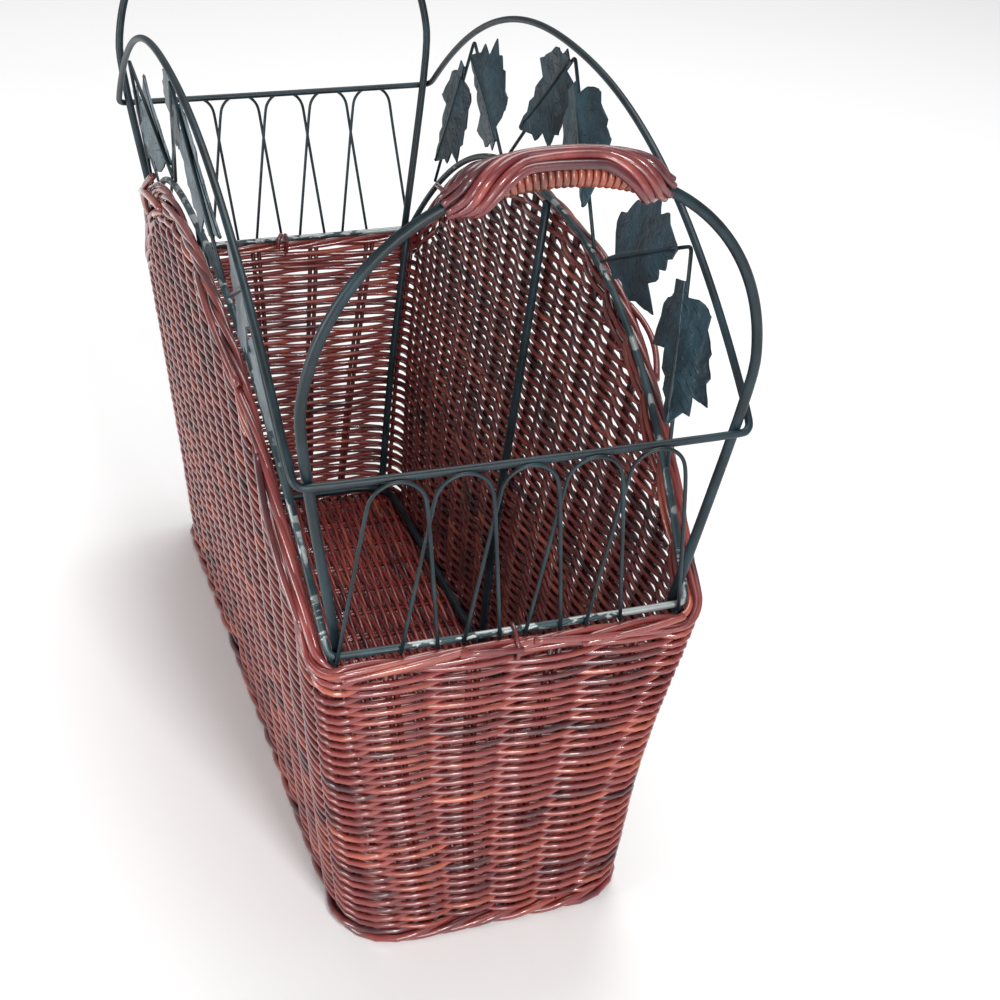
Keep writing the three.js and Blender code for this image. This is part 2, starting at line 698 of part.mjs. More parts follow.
function leaf(foot, apex, side, index) {
  const look = leafLooks[index];
  const rising = risingLeaves.includes(index);
  const turnedOver = turnedOverLeaves.includes(index);
  const leg = foot.clone().sub(apex).normalize();
  const spine = rising ? leg.clone().negate() : leg;
  const length = leafLength * look.sizeShare;
  const halfWidth = leafHalfWidth * look.sizeShare * look.widthShare;
  const start = leafLength * look.startShare + (rising ? length : 0);
  const base = apex.clone().addScaledVector(leg, start);
  const outward = point(side, 0, 0).projectOnPlane(spine).normalize();
  const across = outward.clone().cross(spine).normalize();
  const turnDeg = look.turnDeg * (side > 0 ? 1 : leftTurnShare);
  const turn = -Math.sign(across.y) * THREE.MathUtils.degToRad(turnDeg) * side;
  for (const direction of [outward, across]) direction.applyAxisAngle(spine, turn);
  const fold = THREE.MathUtils.degToRad(look.foldDeg);
  const seat = (stemRadius + weldGap + leafThick / 2) / Math.cos(fold);
  const at = (along, out, face) => {
    const curl = leafLength * look.curlShare * Math.max(0, along) ** 2;
    return base
      .clone()
      .addScaledVector(spine, along * length)
      .addScaledVector(across, out * halfWidth * Math.cos(fold))
      .addScaledVector(outward, Math.abs(out) * halfWidth * Math.sin(fold))
      .addScaledVector(outward, face - seat - curl);
  };
  const half = leafThick / 2;
  const hand = turnedOver ? -1 : 1;
  const sections = leafRowShares.map(({ rib, full, narrow }) => [
    at(full[0], -hand * full[1], hand * half),
    at(rib, 0, hand * half),
    at(narrow[0], hand * narrow[1], hand * half),
    at(narrow[0], hand * narrow[1], -hand * half),
    at(rib, 0, -hand * half),
    at(full[0], -hand * full[1], -hand * half),
  ]);
  return loft(sections);
}

// Assembly

const basket = new THREE.Group();
basket.name = "magazine_basket";

const finishes = {
  iron: { color: 0x2d4148, roughness: 0.45, metalness: 0.6 },
  leaf: { color: 0x33464c, roughness: 0.5, metalness: 0.6 },
  wicker: { color: 0x7a3b2a, roughness: 0.4, metalness: 0 },
  cane: { color: 0xb5623a, roughness: 0.35, metalness: 0 },
  strand: { color: 0x8a3a30, roughness: 0.35, metalness: 0 },
};

function add(name, geometry, finish) {
  const mesh = new THREE.Mesh(geometry, new THREE.MeshStandardMaterial(finishes[finish]));
  mesh.name = name;
  basket.add(mesh);
}

add("top_rail", rod(arched(topLength, topX, topZ, topBend), railRadius, Z, { ring: true }), "iron");
add("rim_rail", rod(arched(rimLength, rimX, rimZ, rimBend), railRadius, Z, { ring: true }), "iron");
add("base_ring", baseRing(), "iron");

const ends = [
  { name: "near", sign: -1 },
  { name: "far", sign: 1 },
];
const sidesOf = [
  { name: "left", sign: -1 },
  { name: "right", sign: 1 },
];

for (const side of sidesOf) {
  for (const end of ends) {
    const diagonal = Math.SQRT1_2;
    const place = { kx: side.sign, ky: end.sign, cx: side.sign * diagonal, cy: end.sign * diagonal };
    const head = rimHeight - railRadius - 2 * weldGap;
    add(`corner_post_${end.name}_${side.name}`, post(place, head), "iron");
  }
  const middle = { kx: side.sign, ky: 0, cx: side.sign, cy: 0 };
  const head = rimHeight + rimRise - railRadius - 2 * weldGap;
  add(`mid_post_${side.name}`, post(middle, head), "iron");
}

for (const end of ends) {
  add(`handle_${end.name}`, rod(handlePath(end.sign), handleRadius, Y), "iron");
  add(`grip_core_${end.name}`, gripCore(end.sign), "wicker");
  add(`grip_wrap_${end.name}`, gripWrap(end.sign), "cane");
  for (let k = 0; k < strandCount; k++)
    add(`grip_strand_${end.name}_${k + 1}`, gripStrand(end.sign, k), "strand");
  for (let k = 0; k < hoopCount; k++)
    add(`hoop_${end.name}_${k + 1}`, rod(hoopPath(end.sign, k), hoopRadius, Y, { sides: 6 }), "iron");
}

for (const side of sidesOf) {
  let leafIndex = 0;
  for (const plan of stemPlan) {
    const [first, apex, second] = stemPoints(side.sign, plan);
    const path = [first, ...bend(first, apex, second, stemBend, 3), second];
    add(`stem_${side.name}_${plan.name}`, rod(path, stemRadius, X, { sides: 6 }), "iron");
    for (const foot of [first, second]) {
      const geometry = leaf(foot, apex, side.sign, leafIndex);
      leafIndex += 1;
      add(`leaf_${side.name}_${leafIndex}`, geometry, "leaf");
    }
  }
}

add("wicker_sides", slotted(wickerSides()), "wicker");
add("wicker_floor", wickerFloor(), "wicker");
add("rim_border", rimBorder(), "wicker");
add("foot_border", footBorder(), "wicker");
for (const end of ends)
  add(`rim_tie_${end.name}`, rod(tiePath(end.sign), tieRadius, X, { ring: true, sides: 6 }), "cane");

export default basket;
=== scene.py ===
# %% [markdown]
# # A wicker magazine basket in an iron frame
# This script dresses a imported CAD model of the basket. The iron frame of the model is right, so
# its rods are smoothed and painted. The wicker is a plain shell in the model, so it is woven here
# reed by reed. All lengths are in metres, Z is up, and Y runs along the basket.

# %% Load the frame
import math
import random

import bmesh
import bpy
import numpy as np
from mathutils import Matrix, Vector


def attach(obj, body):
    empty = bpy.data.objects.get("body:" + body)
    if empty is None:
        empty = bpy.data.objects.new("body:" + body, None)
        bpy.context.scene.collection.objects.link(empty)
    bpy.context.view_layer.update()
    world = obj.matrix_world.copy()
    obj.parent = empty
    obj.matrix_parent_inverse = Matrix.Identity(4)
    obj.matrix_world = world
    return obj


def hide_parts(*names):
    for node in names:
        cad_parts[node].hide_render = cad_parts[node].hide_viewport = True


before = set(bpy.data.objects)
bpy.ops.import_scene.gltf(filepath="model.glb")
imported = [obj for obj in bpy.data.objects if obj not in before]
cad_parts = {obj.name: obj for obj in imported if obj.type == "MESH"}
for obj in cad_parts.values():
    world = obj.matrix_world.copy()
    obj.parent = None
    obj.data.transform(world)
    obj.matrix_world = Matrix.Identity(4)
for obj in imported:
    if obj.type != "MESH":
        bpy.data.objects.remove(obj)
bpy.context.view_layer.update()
scene = bpy.context.scene
random.seed(7)

# %% [markdown]
# ## Camera
# The photograph was taken from above the near end, a little from the left, with the camera
# rolled by a few degrees. The place, the turn and the focal length were fitted to the corners
# of the rails. A small shift moves the picture's middle, as a crop does.

# %% Camera
EYE = Vector((-0.22615, -0.8409, 0.63786))
AZIMUTH, DOWN, ROLL = (math.radians(a) for a in (19.858, 31.073, 2.768))
FOCAL_SHARE = 1.7933  # focal length as a share of the sensor's width
SHIFT = (-0.00608, 0.02188)  # right and up, as shares of the picture's width

ahead = Vector((
    math.sin(AZIMUTH) * math.cos(DOWN),
    math.cos(AZIMUTH) * math.cos(DOWN),
    -math.sin(DOWN),
))
level = ahead.cross(Vector((0, 0, 1))).normalized()
above = level.cross(ahead)
right = level * math.cos(ROLL) + above * math.sin(ROLL)
upward = above * math.cos(ROLL) - level * math.sin(ROLL)

lens = bpy.data.cameras.new("camera")
lens.sensor_width = 36
lens.lens = FOCAL_SHARE * lens.sensor_width
lens.shift_x, lens.shift_y = SHIFT
lens.clip_start, lens.clip_end = 0.01, 50
camera = bpy.data.objects.new("camera", lens)
camera.matrix_world = Matrix.Translation(EYE) @ Matrix(
    (right, upward, -ahead)
).transposed().to_4x4()
scene.collection.objects.link(camera)
scene.camera = camera
print("camera, mm:", [round(1000 * c) for c in EYE])

# %% [markdown]
# ## Light
# Soft light from large lamps and from the sky around shows a colour about as it is written. Two
# of the lamps stand low, so the walls they light keep the inside of the basket in shade.

# %% Light
SKY = 0.31  # strength of the plain white sky

scene.view_settings.view_transform = "Standard"


def lamp(name, place, aim, size, power):
    """A square lamp at place that shines towards aim. Its size is in metres, its power in watts."""
    data = bpy.data.lights.new(name, "AREA")
    data.shape, data.size, data.energy = "SQUARE", size, power
    holder = bpy.data.objects.new(name, data)
    holder.location = place
    holder.rotation_euler = (Vector(aim) - Vector(place)).to_track_quat("-Z", "Y").to_euler()
    scene.collection.objects.link(holder)


lamp("window", (0.1, -1.9, 1.4), (0, 0, 0.15), 0.34, 26)
lamp("front", (-0.25, -2.1, 0.36), (0, 0, 0.12), 0.6, 17)
lamp("ceiling", (0.35, 0.8, 2.4), (0, 0.3, 0.1), 1.4, 39)
lamp("fill", (-1.9, -0.3, 0.4), (0, 0, 0.15), 0.6, 20)

world = bpy.data.worlds.new("sky")
scene.world = world
world.use_nodes = True
world.node_tree.nodes["Background"].inputs["Color"].default_value = (1, 1, 1, 1)
world.node_tree.nodes["Background"].inputs["Strength"].default_value = SKY

# %% [markdown]
# ## Shader sums
# A material is a net of nodes. This small class wraps a socket, so that a sum of sockets in
# Python adds the Math nodes that a person would place by hand. One function makes every other
# node: its settings come first, and then the values or links of its sockets.


# %% Shader sums
class Socket:
    """An output socket that can be used in sums."""

    def __init__(self, tree, socket):
        self.tree, self.socket = tree, socket

    def maths(self, operation, *parts):
        return node(self.tree, "ShaderNodeMath", {"operation": operation}, dict(enumerate(parts)))

    def __add__(self, other):
        return self.maths("ADD", self, other)

    def __sub__(self, other):
        return self.maths("SUBTRACT", self, other)

    def __rsub__(self, other):
        return self.maths("SUBTRACT", other, self)

    def __mul__(self, other):
        return self.maths("MULTIPLY", self, other)

    def __abs__(self):
        return self.maths("ABSOLUTE", self)

    __radd__, __rmul__ = __add__, __mul__

    def wave(self):
        return self.maths("SINE", self)

    def ramp(self, low, high):
        """0 below low, 1 above high, and smooth in between."""
        settings = {"interpolation_type": "SMOOTHSTEP"}
        inputs = {"Value": self, "From Min": low, "From Max": high}
        return node(self.tree, "ShaderNodeMapRange", settings, inputs)


def node(tree, kind, settings, inputs, output=0):
    """A new node. Gives one of its outputs, by number or name."""
    made = tree.nodes.new(kind)
    for key, value in settings.items():
        setattr(made, key, value)
    for key, value in inputs.items():
        if isinstance(value, Socket):
            tree.links.new(value.socket, made.inputs[key])
        else:
            made.inputs[key].default_value = value
    return Socket(tree, made.outputs[output])


print("a Socket takes +, - and *, and has abs, wave and ramp")

# %% [markdown]
# ## Floor
# The floor isn't part of the basket. It is a flat sheet whose colour is pale grey for the light
# that bounces off it, and white for the camera, in reflections and behind glass. It still takes
# the basket's shadow. The helpers that it needs serve the other materials too.

# %% Colours and finishes
MIX_FIRST, MIX_SECOND, MIX_COLOUR = 6, 7, 2  # the sockets of a Mix node that hold colours


def srgb(red, green, blue):
    """A colour as it is read off a screen, 0 to 255, made linear for the shader."""
    def linear(c):
        c /= 255
        return c / 12.92 if c <= 0.04045 else ((c + 0.055) / 1.055) ** 2.4
    return (linear(red), linear(green), linear(blue), 1)


def blend(tree, share, first, second):
    """Mixes two colours."""
    inputs = {"Factor": share, MIX_FIRST: first, MIX_SECOND: second}
    return node(tree, "ShaderNodeMix", {"data_type": "RGBA"}, inputs, MIX_COLOUR)


def noise(tree, vector, scale, detail=3, **more):
    """Noise from 0 to 1. With W=... it has four dimensions."""
    inputs = {"Vector": vector, "Scale": scale, "Detail": detail}
    settings = {"noise_dimensions": "4D"} if "W" in more else {}
    return node(tree, "ShaderNodeTexNoise", settings, {**inputs, **more})


def place_on(tree):
    """The point on the piece, in metres."""
    return node(tree, "ShaderNodeTexCoord", {}, {}, "Object")


def finish_named(name, slots):
    """A new material, its tree, and its shader with these plain values."""
    material = bpy.data.materials.new(name)
    material.use_nodes = True
    shader = material.node_tree.nodes["Principled BSDF"]
    for key, value in slots.items():
        shader.inputs[key].default_value = value
    return material, material.node_tree, shader


def feed(tree, shader, **links):
    """Links sockets to the shader: base_color=... goes to Base Color."""
    for key, socket in links.items():
        tree.links.new(socket.socket, shader.inputs[key.replace("_", " ").title()])


print("a screen's middle grey, linear:", round(srgb(128, 128, 128)[0], 3))

# %% Floor
FLOOR_TONES = (srgb(222, 221, 219), srgb(230, 229, 228))

floor_white, floor_tree, floor_shader = finish_named("floor_white", {"Roughness": 0.9})
seen, mirrored, through = (
    node(floor_tree, "ShaderNodeLightPath", {}, {}, kind)
    for kind in ("Is Camera Ray", "Is Glossy Ray", "Is Transmission Ray")
)
bright = seen.maths("MAXIMUM", seen.maths("MAXIMUM", seen, mirrored), through)
patches = noise(floor_tree, place_on(floor_tree), 3.0)
tint = blend(floor_tree, patches, *FLOOR_TONES)
feed(floor_tree, floor_shader, base_color=blend(floor_tree, bright, tint, (1, 1, 1, 1)))

ground = bmesh.new()
bmesh.ops.create_grid(ground, x_segments=1, y_segments=1, size=6)
floor_mesh = bpy.data.meshes.new("floor")
ground.to_mesh(floor_mesh)
ground.free()
floor_mesh.materials.append(floor_white)
floor = bpy.data.objects.new("floor", floor_mesh)
scene.collection.objects.link(floor)
print("floor, m:", list(floor.dimensions))

# %% [markdown]
# ## Iron paint
# The frame is painted dark blue-green. Paint from a brush or a dip has a low swell, which a
# bump gives, and its sheen varies. On top of the rim bars it has rubbed off to bright metal, in
# streaks along the bar, and the same light streaks paint in the highlight along a bar's round
# top. A noise that is stretched along each bar picks them out, and the way the surface faces
# keeps them near its top, where the highlight is painted. The side bars get fewer streaks: they
# have kept more of their paint and show less painted highlight.

# %% Iron paint
PAINT_DEPTH = 0.00016  # of a bump of height 1
# Bare metal, which on the rim bars also paints a highlight.
BARE_METAL_AND_HIGHLIGHT = srgb(150, 156, 156)
WEAR_EDGE = 0.05  # of the noise, from whole paint to bare metal
# The top of a bar adds streaks of wear and of painted highlight.
TOP_WEAR_AND_HIGHLIGHT, SIDE_BARS_LESS = 0.07, 0.07  # what the top of a bar adds to it, and a side bar takes away


def bump(tree, height, depth):
    return node(tree, "ShaderNodeBump", {}, {"Height": height, "Distance": depth})


def bar_wear_and_highlight(tree):
    """A noise along the rim bars, for worn streaks and a painted highlight. It is higher on top of
    a bar, where the highlight is painted, and lower on the side bars.
    """
    run = node(tree, "ShaderNodeAttribute", {"attribute_name": "run"}, {}, "Vector")
    kept = node(tree, "ShaderNodeAttribute", {"attribute_name": "kept"}, {}, "Fac")
    stretch = node(tree, "ShaderNodeMapping", {}, {"Vector": run, "Scale": (95, 30, 420)})
    facing = node(tree, "ShaderNodeNewGeometry", {}, {}, "Normal")
    up = node(tree, "ShaderNodeSeparateXYZ", {}, {"Vector": facing}, "Z")
    return noise(tree, stretch, 1.0, 5) + up * TOP_WEAR_AND_HIGHLIGHT - kept * SIDE_BARS_LESS


def iron_finish(name, dark, light, wear, relief=None, rubbed_and_highlit=False, ior=1.42):
    """Paint between two colours, bare metal where a noise is above wear, which on the rim bars also
    paints a highlight. relief adds to its bump.
    """
    material, tree, shader = finish_named(name, {"IOR": ior})
    at = place_on(tree)
    cloud = noise(tree, at, 55.0)
    grain = noise(tree, at, 900.0, 2)
    spots = bar_wear_and_highlight(tree) if rubbed_and_highlit else noise(tree, at, 105.0, 5)
    paint = blend(tree, cloud.ramp(0.35, 0.7), dark, light)
    bare_and_highlight = spots.ramp(wear, wear + WEAR_EDGE)
    height = cloud * 3 + grain * 0.4 - bare_and_highlight * 0.6
    if relief:
        height = height + relief(tree)
    feed(
        tree,
        shader,
        base_color=blend(tree, bare_and_highlight, paint, BARE_METAL_AND_HIGHLIGHT),
        roughness=0.36 + 0.16 * cloud,
        metallic=bare_and_highlight * 0.6,
        normal=bump(tree, height, PAINT_DEPTH),
    )
    return material


iron_paint = iron_finish("iron_paint", srgb(9, 24, 30), srgb(22, 44, 52), wear=0.74)
# The rim bars' paint: worn streaks that also paint a highlight along the bars' tops.
worn_paint = iron_finish(
    "worn_paint", srgb(20, 36, 42), srgb(44, 66, 72), wear=0.535, rubbed_and_highlit=True
)
print("iron paints:", iron_paint.name, worn_paint.name)

# %% [markdown]
# ## Smooth rods
# The CAD rods have eight flat sides, and the wires six. A copy of each is welded at its seams,
# its triangles are joined to quads, and a Subdivision Surface rounds it. A crease keeps the cut
# ends flat. Rounding draws a rod in by about a tenth, and a wire by more, so a Displace modifier
# pushes its skin out again by that much.

# %% Copies of CAD pieces
SEAM = 2e-6  # points nearer than this are one
FLAT = math.radians(50)  # triangles that meet at less than this become one quad
CUT = math.radians(76)  # an edge sharper than this goes round a cut end


def show(name, mesh, material, *nodes, slot_name=None):
    """Puts a mesh into the scene as a piece that stands for these CAD nodes."""
    piece = bpy.data.objects.new(name, mesh)
    scene.collection.objects.link(piece)
    mesh.materials.clear()
    mesh.materials.append(material)
    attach(piece, "root")
    if nodes:
        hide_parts(*nodes)
    return piece


def copied(cad_node, quads=True):
    """A merged copy of a CAD node's mesh, in a bmesh."""
    form = bmesh.new()
    form.from_mesh(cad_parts[cad_node].data)
    bmesh.ops.remove_doubles(form, verts=form.verts, dist=SEAM)
    if quads:
        bmesh.ops.join_triangles(
            form, faces=form.faces, angle_face_threshold=FLAT, angle_shape_threshold=FLAT
        )
        crease = form.edges.layers.float.new("crease_edge")
        for edge in form.edges:
            if edge.is_manifold and edge.calc_face_angle() > CUT:
                edge[crease] = 1.0
    return form


def to_mesh(form, name):
    """Turns a bmesh into a smooth-shaded mesh, and frees it."""
    mesh = bpy.data.meshes.new(name)
    form.to_mesh(mesh)
    form.free()
    mesh.shade_smooth()
    return mesh


def rounded(cad_node, material, swell, slot_name, levels=2):
    """A rounded copy of a CAD node, with its skin pushed out by swell."""
    mesh = to_mesh(copied(cad_node), cad_node + "_round")
    piece = show(cad_node + "_round", mesh, material, cad_node, slot_name=slot_name)
    rounder = piece.modifiers.new("round", "SUBSURF")
    rounder.levels = rounder.render_levels = levels
    push = piece.modifiers.new("push", "DISPLACE")
    push.strength, push.mid_level = swell, 0
    return piece


print("CAD nodes:", len(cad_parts))

# %% Smooth rods
ROD, RAIL, WIRE = 0.0023, 0.0018, 0.0009  # radii
DRAWN_IN, WIRE_DRAWN_IN = 0.1, 0.16  # share of a radius that rounding takes away

thick_rods = [f"corner_post_{end}_{side}" for end in ("near", "far") for side in ("left", "right")]
thick_rods += ["mid_post_left", "mid_post_right", "base_ring", "handle_near", "handle_far"]
for name in thick_rods:
    rounded(name, iron_paint, ROD * DRAWN_IN, "iron_paint")
rounded("top_rail", iron_paint, RAIL * DRAWN_IN, "iron_paint")
rim_bars = rounded("rim_rail", worn_paint, RAIL * DRAWN_IN, "iron_paint").data
thin_wires = [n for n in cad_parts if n.startswith(("hoop_", "stem_"))]
for name in thin_wires:
    rounded(name, iron_paint, WIRE * WIRE_DRAWN_IN, "iron_paint")
print("rods:", len(thick_rods) + 2, "wires:", len(thin_wires))

# %% [markdown]
# ## Wear and painted highlight on the rim bars
# The worn paint, with its painted highlight, needs to know which way each bar runs. So every
# point of the rim rail carries how far along its bar it is, how far across, and how high on the
# bar's round. A second number says which points are on the side bars, which get fewer streaks.

# %% Wear and painted highlight on the rim bars
END_BARS = 0.226  # past this, a point is on a bar of an end


def carry(mesh, name, values, kind="FLOAT", field="value"):
    """Gives the points of a mesh these values, under a name that a material can read."""
    mesh.attributes.new(name, kind, "POINT").data.foreach_set(field, values)


runs, kept = [], []
for vert in rim_bars.vertices:
    x, y, _ = vert.co
    at_end = abs(y) > END_BARS
    along, across = (x, y) if at_end else (y, x)
    runs += (along, across, RAIL * vert.normal.z)
    kept.append(0.0 if at_end else 1.0)
carry(rim_bars, "run", runs, "FLOAT_VECTOR", "vector")
carry(rim_bars, "kept", kept)
print("points of the rim rail:", len(kept), "on its end bars:", kept.count(0.0))

# %% [markdown]
# ## The basket's lines
# The weave follows the same wall as the CAD model: a box with round upright corners that
# flares towards its rim, is drawn in at its waist and turned a little at its foot. These
# functions repeat the model's sizes.

# %% The wall's form
RIM_LENGTH, RIM_WIDTH, RIM_HEIGHT = 0.460, 0.166, 0.190  # of the rim rail's middle line
RIM_RISE, RIM_POWER = 0.107, 2.6  # height of the arches, and how full they are
BASE_LENGTH, BASE_WIDTH, BASE_CORNER = 0.426, 0.146, 0.030  # outside of the foot
WALL = 0.0056  # thickness of the wicker
WAIST, SWAY, TWIST = 0.0015, 0.0015, math.radians(0.85)  # in, to the left, and turned
WELD_GAP, RIM_BEND = 0.0003, 0.005  # a gap that stands for a weld, and the rail's bend
RIM_INNER = RAIL + WELD_GAP  # from the rim rail's middle line to the wall


def mix(a, b, share):
    return a + (b - a) * share


def rim_z(y):
    """Height of the rim over a place along the basket."""
    return RIM_HEIGHT + RIM_RISE * (1 - min(1, abs(2 * y / RIM_LENGTH)) ** RIM_POWER)


def wall_point(place, z, out=0.0):
    """A point at a height, out from the wall's inner face. place is (kx, ky, cx, cy)."""
    kx, ky, cx, cy = place
    share = z / RIM_HEIGHT
    below = max(0.0, min(1.0, share))
    waist = math.sin(math.pi * below) ** 2
    half_x = mix(BASE_WIDTH / 2 - WALL, RIM_WIDTH / 2 + RIM_INNER, share) - WAIST * waist
    half_y = mix(BASE_LENGTH / 2 - WALL, RIM_LENGTH / 2 + RIM_INNER, share) - WAIST * waist
    corner = mix(BASE_CORNER - WALL, RIM_BEND + RIM_INNER, below)
    at = Vector((
        -SWAY * waist + kx * (half_x - corner) + (corner + out) * cx,
        ky * (half_y - corner) + (corner + out) * cy,
        z,
    ))
    return Matrix.Rotation(TWIST * (1 - below) ** 2, 3, "Z") @ at


print("rim, mm:", round(1000 * rim_z(RIM_LENGTH / 2)), "to", round(1000 * rim_z(0)))

# %% [markdown]
# ## Round the basket
# A place round the basket is a number of stakes, counted from the near right corner. It gives
# four factors: kx and ky say how far it is along the straight sides, and cx and cy which way the
# wall faces there.

# %% Round the basket
SIDE_STAKES, END_STAKES = 16, 5  # spaces between stakes from corner to corner
STAKES = 2 * (SIDE_STAKES + END_STAKES)
STRAIGHT_SIDE, STRAIGHT_END = 0.405, 0.118  # lengths of the straight parts, at half height
QUARTER = 0.0291  # length of a round corner there


def wall_place(turn):
    """The place at a number of stakes round the basket."""
    turn %= STAKES
    sides = (
        (SIDE_STAKES, STRAIGHT_SIDE, 0, lambda s: (1, s)),
        (END_STAKES, STRAIGHT_END, 90, lambda s: (-s, 1)),
        (SIDE_STAKES, STRAIGHT_SIDE, 180, lambda s: (-1, -s)),
        (END_STAKES, STRAIGHT_END, 270, lambda s: (s, -1)),
    )
    for count, straight, facing, factors in sides:
        if turn <= count:
            break
        turn -= count
    run = (straight + QUARTER) * turn / count
    if run < QUARTER / 2:
        share, bend = -1, run / (QUARTER / 2) - 1
    elif run > QUARTER / 2 + straight:
        share, bend = 1, (run - QUARTER / 2 - straight) / (QUARTER / 2)
    else:
        share, bend = 2 * (run - QUARTER / 2) / straight - 1, 0
    angle = math.radians(facing + 45 * bend)
    return (*factors(share), math.cos(angle), math.sin(angle))


print("stakes:", STAKES)

# %% [markdown]
# ## Varnished reed
# The reeds are stained red-brown and varnished. No two take the stain alike, so each has a
# number of its own, and a noise in four dimensions uses it: a reed then changes from orange to
# purple-brown along its length, and its neighbour does so elsewhere. Fine streaks run along a
# reed, and the varnish is a clear coat. The stakes lie deeper, in the shade behind the weavers,
# so their tones are painted darker as shade, under a thinner coat.

# %% Varnished reed
REED_TONES = (srgb(62, 18, 26), srgb(121, 44, 42), srgb(172, 86, 66))
# The stakes' tones are darker as painted shade, for the gaps where they show behind the weavers.
SHADED_STAKE_TONES = (srgb(40, 9, 12), srgb(72, 20, 19), srgb(104, 40, 32))
REED_DEPTH = 0.00022  # of a bump of height 1


def reed_finish(name, dark, middle, light, patch=22.0, shine=1.0):
    """Stain in three tones, in patches of about 1 / patch metres, under varnish. The stakes' tones
    are painted darker as shade.
    """
    material, tree, shader = finish_named(name, {"IOR": 1.5, "Coat Roughness": 0.09})
    at = place_on(tree)
    number = node(tree, "ShaderNodeAttribute", {"attribute_name": "reed"}, {}, "Fac")
    stain = noise(tree, at, patch, 2, W=number * 7)
    cloud = noise(tree, at, 160.0, 3, W=number * 5)
    skin = node(tree, "ShaderNodeUVMap", {"uv_map": "UVMap"}, {})
    stretch = node(tree, "ShaderNodeMapping", {}, {"Vector": skin, "Scale": (60, 9, 1)})
    streak = noise(tree, stretch, 1.0, 3, W=number * 3)
    own = (number * 39.7).wave() * 0.5 + 0.5
    tone = stain * 1.5 + own * 0.3 + cloud * 0.26 + streak * 0.2 - 0.66
    deep = blend(tree, tone.ramp(0.12, 0.5), dark, middle)
    feed(
        tree,
        shader,
        base_color=blend(tree, tone.ramp(0.52, 0.98), deep, light),
        roughness=0.34 + 0.22 * cloud,
        coat_weight=shine * (0.4 + 0.9 * cloud),
        normal=bump(tree, streak * 0.7 + cloud * 0.5, REED_DEPTH),
    )
    return material


wicker_reed = reed_finish("wicker_reed", *REED_TONES)
# Painted shade: the stakes' finish is darker than the weavers'.
dark_reed = reed_finish("dark_reed", *SHADED_STAKE_TONES, shine=0.25)
print("reed finishes:", wicker_reed.name, dark_reed.name)

# %% [markdown]
# ## Reeds from curves
# A reed is a line with a round section. A curve object holds many such lines, and its bevel
# gives each one the section. The bevel is 1 m deep, so that the radius at a point is in metres.
# The curve is then turned into a mesh, and every reed gets its number.


# %% Reeds from curves
def reeds(name, lines, radius, material, *nodes, closed=False, slot_name="wicker", fine=1):
    """One piece of many reeds, each a list of points. radius may be a list, with a number or
    a list of numbers for each reed."""
    lines = [line for line in lines if len(line) > 1]
    radii = radius if isinstance(radius, list) else [radius] * len(lines)
    curve = bpy.data.curves.new(name, "CURVE")
    curve.dimensions = "3D"
    curve.bevel_depth = 1
    curve.bevel_resolution = fine
    curve.use_fill_caps = True
    for line, thickness in zip(lines, radii):
        spline = curve.splines.new("POLY")
        spline.points.add(len(line) - 1)
        spline.points.foreach_set("co", [c for p in line for c in (*p, 1)])
        along = thickness if isinstance(thickness, list) else [thickness] * len(line)
        spline.points.foreach_set("radius", along)
        spline.use_cyclic_u = closed
    holder = bpy.data.objects.new(name, curve)
    scene.collection.objects.link(holder)
    mesh = bpy.data.meshes.new_from_object(
        holder.evaluated_get(bpy.context.evaluated_depsgraph_get())
    )
    bpy.data.objects.remove(holder)

    # The end caps come first, from the last line to the first, and then the reeds in order.
    section = 4 + 2 * fine  # points round a reed
    numbers = [random.random() for _ in lines]
    caps = [] if closed else np.repeat(numbers[::-1], 2 * section)
    skins = np.repeat(numbers, [len(line) * section for line in lines])
    carry(mesh, "reed", np.concatenate([caps, skins]))
    form = bmesh.new()
    form.from_mesh(mesh)
    bmesh.ops.remove_doubles(form, verts=form.verts, dist=1e-6)
    form.to_mesh(mesh)
    form.free()
    mesh.shade_smooth()
    show(name, mesh, material, *nodes, slot_name=slot_name)
    print(name, "reeds:", len(lines), "faces:", len(mesh.polygons))


# %% [markdown]
# ## Stakes and weavers
# The wall is plain weave: upright stakes, here in pairs as on the real basket, and weavers
# that pass in front of one pair and behind the next. The next row does the opposite, so the
# two rows cross halfway between the stakes, and light falls through beside each pair.

# %% Stakes
STAKE = 0.0015  # radius
PAIR = 0.052  # from a pair's middle to each of its stakes, as a share of the space to the next
MIDDLE = 0.0035  # middle of the wall, out from its inner face
BORDER_HALF = 0.0042  # half the height of the rim's border
BORDER_DROP = 0.0015 + BORDER_HALF  # from the rim's line down to the border's middle
WALL_DROP = BORDER_DROP + BORDER_HALF  # from the rim's line down to the wall's top edge
STAKE_FOOT, STAKE_HEAD = 0.006, 0.003  # height of its foot, and how far it goes into the border
STAKE_STEP = 0.02  # about this far from point to point
CORNER_FADE = 0.03  # nearer than this to a corner, the rim's slope counts for less


def slope_factor(y):
    """Turns a distance square to the rim into an upright one. It fades out at the corners."""
    reach = RIM_LENGTH / 2 - abs(y)
    if reach <= 0:
        return 1.0
    steep = RIM_RISE * RIM_POWER * (abs(2 * y) / RIM_LENGTH) ** (RIM_POWER - 1) * 2 / RIM_LENGTH
    return math.hypot(1, steep * min(1, reach / CORNER_FADE))


def under_rim(place, drop, out):
    """A point at a distance below the rim's line. The wall leans, so it is found step by step."""
    y = wall_point(place, RIM_HEIGHT).y
    z = rim_z(y) - drop * slope_factor(y)
    for _ in range(3):
        y = wall_point(place, z).y
        z = rim_z(y) - drop * slope_factor(y)
    return wall_point(place, z, out)


